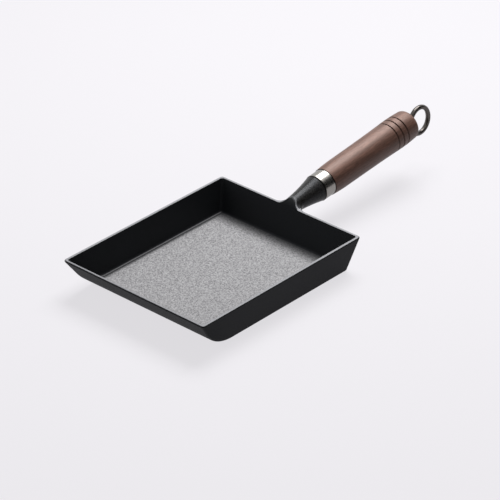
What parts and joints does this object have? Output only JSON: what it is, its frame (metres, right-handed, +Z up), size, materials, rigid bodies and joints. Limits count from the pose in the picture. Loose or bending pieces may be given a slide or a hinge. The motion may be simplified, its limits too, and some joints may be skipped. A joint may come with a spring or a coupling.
{
  "type": "tamagoyaki pan",
  "caption": "Rectangular cast-iron omelette pan with flared walls, a flared neck, a steel ferrule, a turned wooden grip and a wire hanging loop.",
  "frame": {"origin": "on the flat underside of the pan, below the middle of the rim's length and width", "axes": "+X along the handle, from the pan to the hanging loop; +Y across the pan, to the left when looking along +X; +Z up out of the pan"},
  "size_m": [0.3728, 0.1544, 0.0606],
  "materials": {
    "seasoned_cast_iron": "fine sand-cast skin, seasoned near black, with a brighter rim",
    "polished_steel": "drawn and polished stainless steel",
    "stained_hardwood": "turned hardwood, stained walnut brown, satin oil finish",
    "bent_steel_wire": "bright drawn steel rod, bent cold"
  },
  "bodies": {
    "root": {"pan_body": "seasoned_cast_iron", "ferrule": "polished_steel", "grip": "stained_hardwood", "hanging_loop_rod": "bent_steel_wire"}
  },
  "joints": []
}
